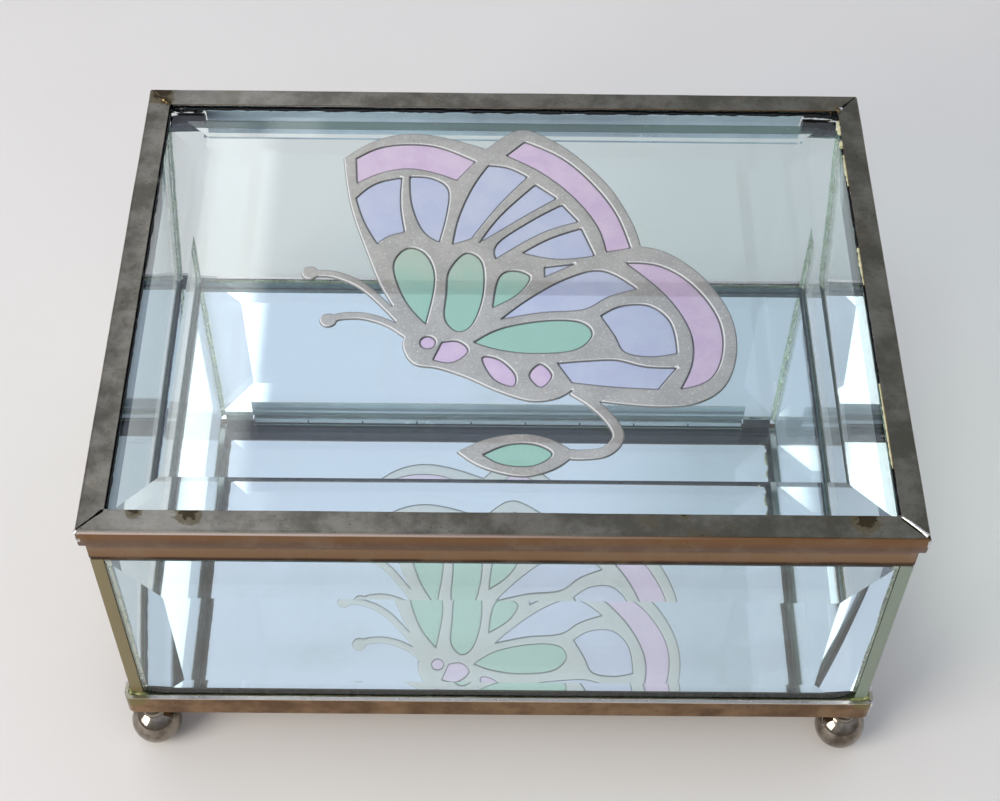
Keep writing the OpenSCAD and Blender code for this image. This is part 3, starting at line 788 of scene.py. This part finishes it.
def relief(name, node, finish, rise, draw_in, slot):
    """A low cast form over a node's outlines: upright at the foot, round at the shoulder, flat on top."""
    loops = [evenly(loop, outline_pitch) for loop in outlines(node)]
    ends = []
    for loop in loops:
        ends += [(len(ends) + k, len(ends) + (k + 1) % len(loop)) for k in range(len(loop))]
    line = [p for loop in loops for p in loop]
    ways = ways_in(line, ends)
    line = [p + way * draw_in for p, way in zip(line, ways)]
    depth = depth_in(line, ends)
    flat, upper, top_names = filled(top_points(line, ways, depth), ends)
    lower_flat, lower, foot_names = filled(line, ends)
    solid = bmesh.new()
    round_up = solid.verts.layers.float.new("shoulder")
    tops, feet, top_at, foot_at = [], [], {}, {}
    for k, p in enumerate(flat):
        curve = min(depth(p) / shoulder, 1)
        height = rise * (foot_share + (1 - foot_share) * math.sqrt(1 - (1 - curve) ** 2))
        tops.append(solid.verts.new((p.x * mm, p.y * mm, (ornament_base + height) * mm)))
        tops[-1][round_up] = curve
        top_at[top_names[k]] = tops[-1]
    for k, p in enumerate(lower_flat):
        feet.append(solid.verts.new((p.x * mm, p.y * mm, ornament_base * mm)))
        foot_at[foot_names[k]] = feet[-1]
    for face in upper:
        solid.faces.new([tops[k] for k in face]).smooth = True
    for face in lower:
        solid.faces.new([feet[k] for k in reversed(face)]).material_index = 1
    for a, b in ends:
        solid.faces.new([top_at[a], foot_at[a], foot_at[b], top_at[b]]).smooth = True
    bmesh.ops.recalc_face_normals(solid, faces=solid.faces)
    return placed(piece_from(name, solid, [finish, glue_film], 62), "lid", slot, node)


def cast_finish(name, colour, deep, through, sparkle=0.2, painted_rim_highlight=0.3, open_share=0.3, turns_at=None):
    """Cast colour, cloudy and partly clear, with painted shade at the foot of its shoulder, on shoulders
    turned from the window and towards the right, and a painted highlight on shoulders turned towards it.

    It turns from colour to deep in clouds, or between two places along y.
    """
    f = finish_named(name)
    x, y, _ = f.millimetres()
    across, away, _ = f.direction()
    turn = f.kept("shoulder")
    cloudy = f.cloud(6, 4, 0.6).rise(0.3, 0.7)
    grain = f.cloud(0.4, 3, 0.7)
    if turns_at:
        cloudy = (y + cloudy * 3).rise(*turns_at)
    # Painted shade: the colour darkens towards the right, where the window's light falls off.
    body = f.tint(x.rise(0, 40) * 0.22, f.tint(cloudy, colour, deep), seen(128, 126, 134))
    body = f.tint(grain.rise(0.55, 0.75) * sparkle, body, seen(246, 248, 246))
    body = f.tint(grain.rise(0.45, 0.3) * sparkle * 0.8, body, seen(134, 134, 132))
    # Painted light: shoulders turned from the window get painted shade, and those turned towards it get a
    # painted white highlight.
    painted_light_facing = (across * -0.85 - away * 0.5) * (0.6 + grain)
    body = f.tint(painted_light_facing.rise(-0.12, -0.4) * 0.7, body, seen(92, 86, 92))
    body = f.tint(painted_light_facing.rise(0.06, 0.28) * painted_rim_highlight, body, seen(255, 255, 255))
    # Painted shade: a dark line along the foot of each shoulder.
    body = f.tint(turn.rise(0.55, 0.15) * 0.85, body, seen(52, 56, 60))
    uneven = f.bump(grain * 0.5 + cloudy, 0.02)
    glow = f.node("ShaderNodeBsdfTranslucent", inputs={"Color": through, "Normal": uneven})
    skin = f.principled({"Base Color": body, "IOR": 1.46, "Roughness": 0.26 + grain * 0.12,
                         "Coat Weight": 0.5, "Coat Roughness": 0.1, "Normal": uneven})
    # 1 on a face that is met from inside the cast, as the top is when it is seen from below
    from_inside = f.node("ShaderNodeNewGeometry", output=6)
    cast = f.shared(0.1 + from_inside * turn.rise(0.0, 0.6) * 0.85, skin, glow)
    return f.done(f.shared(turn.rise(0.1, 0.5) * open_share, cast, f.open_way(through)))


def film_finish():
    """The clear glue film under the ornament, slightly milky in patches."""
    f = finish_named("glue_film")
    milky = f.cloud(2.5, 4, 0.6)
    colour = f.tint(milky, seen(226, 230, 226), seen(196, 204, 200))
    film_and_painted_sky = f.principled({"Base Color": colour, "Roughness": 0.4})
    return f.done(f.shared(0.04 + milky * 0.08, f.open_way((1, 1, 1, 1)), film_and_painted_sky))


glue_film = film_finish()
line_cast = cast_finish("frosted_lines", seen(184, 179, 172), seen(162, 158, 152), seen(236, 232, 226),
                        sparkle=0.6, painted_rim_highlight=1.0, open_share=0.28)
pink_cast = cast_finish("pearly_pink", seen(228, 208, 228), seen(212, 186, 220), seen(255, 226, 246))
lavender_cast = cast_finish("pearly_lavender", seen(200, 208, 228), seen(188, 196, 226),
                            seen(238, 236, 252))
# Painted see-through: the green turns from grey-green at the back to aqua at the front, for a darker ground
# and the bright mirror seen through the cells.
green_cast = cast_finish("pearly_green", seen(190, 204, 188), seen(156, 206, 188), seen(208, 232, 214),
                         turns_at=(11.5, -1.0))
relief("ornament_lines", "butterfly_outline", line_cast, line_rise, 0.0, "ornament_lines")
for colour, cast in (("pink", pink_cast), ("lavender", lavender_cast), ("green", green_cast)):
    relief("ornament_" + colour, "butterfly_" + colour, cast, cell_rise, cell_gap, colour + "_cells")


# The mirror floor is silvered float glass, laid face up on a fibre board inside the walls. The silvering
# is on its underside and has crept black along the back and the sides, where its backing paint also
# covers the edges of the plate.
silver_gap = 0.03
board_edge = 0.2
mirror_low, mirror_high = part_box("mirror_floor")


def silver_finish():
    """Silvering seen through the plate, black where damp has crept in from an edge."""
    f = finish_named("silvered_back")
    x, y, _ = f.millimetres()
    edge = (mirror_high.x / mm - abs(x)).least(mirror_high.y / mm - y)
    black = (edge - f.cloud(2.2, 4, 0.7) * 0.7).rise(0.25, 0.0)
    tarnish = f.cloud(24, 4, 0.6).rise(0.5, 0.8)
    colour = f.tint(tarnish, seen(248, 249, 250), seen(238, 240, 238))
    return f.done(f.principled({
        "Base Color": f.tint(black, colour, seen(24, 34, 34)), "Metallic": 1.0, "Roughness": black * 0.4}))


def sealed_edge_finish():
    """Backing paint on the edges of the plate, dark and a little green."""
    f = finish_named("sealed_mirror_edge")
    thin = f.cloud(3, 4, 0.7).rise(0.5, 0.75)
    return f.done(f.principled({
        "Base Color": f.tint(thin, seen(26, 60, 70), seen(76, 108, 106)), "Roughness": 0.5,
        "Normal": f.bump(f.cloud(0.8, 3, 0.6), 0.03)}))


def board_finish():
    f = finish_named("fibre_board")
    fibre = f.cloud(0.6, 4, 0.7, stretch=(0.3, 1, 1))
    return f.done(f.principled({
        "Base Color": f.tint(fibre, seen(96, 74, 54), seen(132, 106, 80)), "Roughness": 0.85,
        "Normal": f.bump(fibre, 0.08)}))


mirror = solid_of("mirror_floor")
for v in mirror.verts:
    if v.co.z < mirror_low.z + mm:
        v.co.z += silver_gap * mm
for face in mirror.faces:
    underneath = face.normal.z < -0.5
    sealed = max(abs(face.normal.x), face.normal.y) > 0.5
    face.material_index = 1 if underneath else 2 if sealed else 0
plate = piece_from("mirror_plate", mirror, [polished_glass, silver_finish(), sealed_edge_finish()])
placed(plate, "case", "mirror", "mirror_floor")

board = piece_from("backing_board_sheet", solid_of("backing_board"), [board_finish()])
rounded_edges(board, board_edge)
placed(board, "case", "board", "backing_board")


# The tray is one strip of brass angle, bent round the corners, plated and polished. Its lip stands just
# clear of the glass, with clear adhesive run into the gap and smeared at the corners.
tray_pitch = 2.0
tray_wave = 0.04
tray_edge = 0.16
fill_ease = 0.04
fill_lump = 4.0
tray_corner = tuple(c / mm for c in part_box("tray_frame")[1])
lip_top = tray_corner[2]
tray_stains = ((-69, -52, 3.4), (69, -52, 2.6), (-69, 52, 2.0), (69, 52, 2.8))


def tray_finish():
    """Smoky plating, paler along the top of the lip and stained green by the adhesive at the corners."""
    f = finish_named("tray_plating")
    colour, rough, height = plating(f, seen(144, 114, 84), seen(106, 78, 52), seen(86, 60, 38), 0.12)
    _, _, z = f.millimetres()
    colour = f.tint((z - lip_top).rise(-0.45, -0.1), colour, seen(206, 196, 188))
    for x, y, radius in tray_stains:
        patch = f.spot((x, y, lip_top), radius)
        colour = f.tint(patch * 0.5, colour, seen(120, 122, 62))
        rough = rough + patch * 0.12
    return plated(f, colour, rough, height)


def adhesive_finish(name, pale, deep, clearness, flecked=1.0):
    """Clear adhesive that has yellowed, with dark and bright flecks in it."""
    f = finish_named(name)
    aged = f.cloud(3.5, 4, 0.6).rise(0.35, 0.65)
    flecks = f.cloud(0.6, 3, 0.7)
    colour = f.tint(aged, pale, deep)
    colour = f.tint(flecks.rise(0.42, 0.32) * 0.7 * flecked, colour, seen(24, 52, 40))
    colour = f.tint(flecks.rise(0.62, 0.7) * 0.6 * flecked, colour, seen(210, 226, 200))
    return f.done(f.principled({
        "Base Color": colour, "Transmission Weight": clearness, "IOR": 1.47, "Roughness": 0.12 + aged * 0.2,
        "Normal": f.bump(f.cloud(1.1, 3, 0.6), 0.08)}))


tray_solid = solid_of("tray_frame")
fill_solid = solid_of("tray_adhesive")
for solid in (tray_solid, fill_solid):
    cut_across(solid, 0, tray_pitch)
    cut_across(solid, 1, tray_pitch)
waved(tray_solid, tray_wave)
tray = piece_from("tray_frame_strip", tray_solid, [tray_finish()], 30)
rounded_edges(tray, tray_edge, 3)
placed(tray, "case", "tray_metal", "tray_frame")

lip_fill = adhesive_finish("lip_adhesive", seen(206, 210, 196), seen(158, 168, 128), 0.5)
corner_fill = adhesive_finish("corner_adhesive", seen(180, 184, 120), seen(116, 128, 52), 0.45)
eased(fill_solid, fill_ease)
fill_top = max(v.co.z for v in fill_solid.verts)
for v in fill_solid.verts:
    if v.co.z > fill_top - 0.2 * mm:
        v.co.z += (noise.noise(v.co / (fill_lump * mm)) * 0.3 + 0.25) * mm
placed(piece_from("tray_lip_fill", fill_solid, [lip_fill], 40), "case", "adhesive", "tray_adhesive")

smear = ((4.5, 1.2, -0.6, 0.25), (2.0, 1.15, -0.2, 0.5), (1.25, 1.3, 0.1, 0.55), (1.15, 3.0, -0.4, 0.3))
smear_runs = [corner_run(tray_corner, side_x, side_y, *smear) for side_x in (-1, 1) for side_y in (-1, 1)]
smears = beads("tray_corner_smears", smear_runs, corner_fill, 1.0, 0.5, 4.0)
placed(smears, "case", "adhesive", "tray_adhesive")

joint_run = corner_run(tray_corner, 1, -1, (0.35, 0.35, -0.1, 0.22), (0.4, 0.4, -2.5, 0.16),
                       (0.4, 0.4, -4.4, 0.2))
joint_bead = beads("tray_joint_solder", [joint_run], bright_solder, 1.2, 0.3, 6.0)
placed(joint_bead, "case", "solder", "tray_solder")


# Clear adhesive joins the panes: a fillet runs up each inside corner, uneven where it was wiped by hand.
# It starts just over the mirror and stops just under the top of the walls.
fillet_leg = 1.0
fillet_hollow = 0.36
fillet_steps = 60
fillet_lump = 9
bond_glass_gap = 0.03
inner_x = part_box("right_glass")[0].x / mm
inner_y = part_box("back_glass")[0].y / mm


def wiped_leg(x, y, z):
    """The width of a fillet at that height, uneven as a finger leaves it."""
    return fillet_leg * (1 + 0.25 * noise.noise(Vector((x, y, z / fillet_lump))))


def corner_fillet(name, node, at_x, at_y):
    """A concave fillet in the corner at (at_x, at_y), from the mirror up to the top of the walls."""
    into_x, into_y = -math.copysign(1, at_x), -math.copysign(1, at_y)
    foot, head = mirror_high.z / mm + 0.05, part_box(node)[1].z / mm - 0.2
    solid = bmesh.new()
    rows = []
    for k in range(fillet_steps + 1):
        z = foot + (head - foot) * k / fillet_steps
        leg_x, leg_y = wiped_leg(at_x, at_y, z), wiped_leg(at_x, at_y + fillet_lump, z)
        shape = ((bond_glass_gap, bond_glass_gap), (leg_x, bond_glass_gap),
                 (fillet_hollow * leg_x, fillet_hollow * leg_y), (bond_glass_gap, leg_y))
        rows.append([solid.verts.new(((at_x + into_x * a) * mm, (at_y + into_y * b) * mm, z * mm))
                     for a, b in shape])
    for lower, upper in zip(rows, rows[1:]):
        for a in range(4):
            b = (a + 1) % 4
            solid.faces.new([lower[a], lower[b], upper[b], upper[a]])
    solid.faces.new(rows[0])
    solid.faces.new(rows[-1])
    bmesh.ops.recalc_face_normals(solid, faces=solid.faces)
    return placed(piece_from(name, solid, [bond_fill], 50), "case", "adhesive", node)


bond_fill = adhesive_finish("pane_adhesive", seen(240, 244, 236), seen(222, 228, 206), 0.92, 0.15)
for side_y, name_y in ((-1, "front"), (1, "back")):
    for side_x, name_x in ((-1, "left"), (1, "right")):
        corner = name_y + "_" + name_x
        corner_fillet("fillet_" + corner, "corner_bond_" + corner, side_x * inner_x, side_y * inner_y)


# The ball feet are turned brass with a neck and a collar, plated and polished, screwed up through the
# tray's corners. The plating is pitted and smoky, and worn where the ball stands.
foot_turns = 48
ball_radius = 4.8
ball_flat = 0.1
foot_tray_gap = 0.03


def foot_finish():
    """Smoky plating with pits, worn to the brass where the ball stands."""
    f = finish_named("foot_plating")
    _, _, z = f.millimetres()
    smoke = f.cloud(3.5, 4, 0.6).rise(0.4, 0.7)
    pits = f.cloud(0.45, 3, 0.7).rise(0.36, 0.28)
    worn = z.rise(1.6, 0.3)
    colour = f.tint(smoke, seen(150, 141, 130), seen(102, 94, 84))
    colour = f.tint(pits * 0.8, colour, seen(50, 44, 38))
    colour = f.tint(worn * 0.5, colour, seen(120, 104, 80))
    rough = 0.07 + smoke * 0.12 + pits * 0.25 + worn * 0.2
    return f.done(f.principled({
        "Base Color": colour, "Metallic": 1.0, "Roughness": rough,
        "Normal": f.bump(f.cloud(1.6, 3, 0.5) - pits * 0.4, 0.015)}))


def foot_profile(height):
    """Half section of a foot, from the flat it stands on up to the tray, as (radius, height)."""
    middle = ball_radius - ball_flat
    head = height - foot_tray_gap
    around = [math.radians(a) for a in range(-76, 61, 8)]
    ball = [(ball_radius * math.cos(a), middle + ball_radius * math.sin(a)) for a in around]
    neck = [(2.15, middle + 4.35), (2.0, middle + 4.7), (2.05, height - 1.9), (2.25, height - 1.4)]
    collar = [(2.62, height - 1.25), (2.7, height - 1.05), (2.7, height - 0.2), (2.62, head)]
    return [(0.0, 0.0), (0.9, 0.0)] + ball + neck + collar + [(0.0, head)]


def turned(name, node, profile, finish, slot):
    """A round piece turned about the upright through the middle of its node."""
    low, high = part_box(node)
    middle = (low + high) / 2
    angles = [2 * math.pi * k / foot_turns for k in range(foot_turns)]
    solid = bmesh.new()
    rings = []
    for radius, height in profile:
        z = low.z + height * mm
        if radius == 0:
            rings.append([solid.verts.new((middle.x, middle.y, z))])
            continue
        rings.append([solid.verts.new((middle.x + radius * mm * math.cos(a),
                                       middle.y + radius * mm * math.sin(a), z)) for a in angles])
    for lower, upper in zip(rings, rings[1:]):
        for k in range(foot_turns):
            j = (k + 1) % foot_turns
            corners = [ring[i % len(ring)] for ring, i in ((lower, k), (lower, j), (upper, j), (upper, k))]
            solid.faces.new(list(dict.fromkeys(corners)))
    bmesh.ops.recalc_face_normals(solid, faces=solid.faces)
    return placed(piece_from(name, solid, [finish], 40), "case", slot, node)


plated_foot = foot_finish()
for place in ("front_left", "front_right", "back_left", "back_right"):
    node = "foot_" + place
    foot_low, foot_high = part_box(node)
    turned("ball_" + node, node, foot_profile((foot_high.z - foot_low.z) / mm), plated_foot, "foot_metal")


# The hinge is a length of piano hinge: the lid's strip is soldered behind the back rail, the case's strip
# is glued outside the back wall, and one pin runs through the curled knuckles of both.
strip_edge = 0.05


def hinge_finish():
    """Bright plating, with a painted reflection: pale blue, less metallic, on the faces that bed on the
    wall.
    """
    f = finish_named("hinge_plating")
    colour, rough, height = plating(f, seen(216, 216, 216), seen(188, 188, 188), seen(150, 142, 124), 0.1)
    _, back, _ = f.direction()
    # Painted reflection: the faces that bed on the wall are tinted pale blue for the sky seen in the strip
    # through the back wall.
    painted_reflection_faces = back.rise(-0.6, -0.9)
    film_and_painted_sky = f.tint(f.cloud(6, 3, 0.6), seen(170, 182, 204), seen(214, 222, 238))
    return plated(f, f.tint(painted_reflection_faces, colour, film_and_painted_sky), rough, height, 1 - painted_reflection_faces * 0.75)


plated_hinge = hinge_finish()
for name, node, body in (("hinge_strip_lid", "hinge_lid_leaf", "lid"),
                         ("hinge_strip_case", "hinge_case_rail", "case"),
                         ("hinge_pin_rod", "hinge_pin", "case")):
    strip = piece_from(name, solid_of(node), [plated_hinge], 30)
    rounded_edges(strip, strip_edge)
    placed(strip, body, "hinge_metal", node)
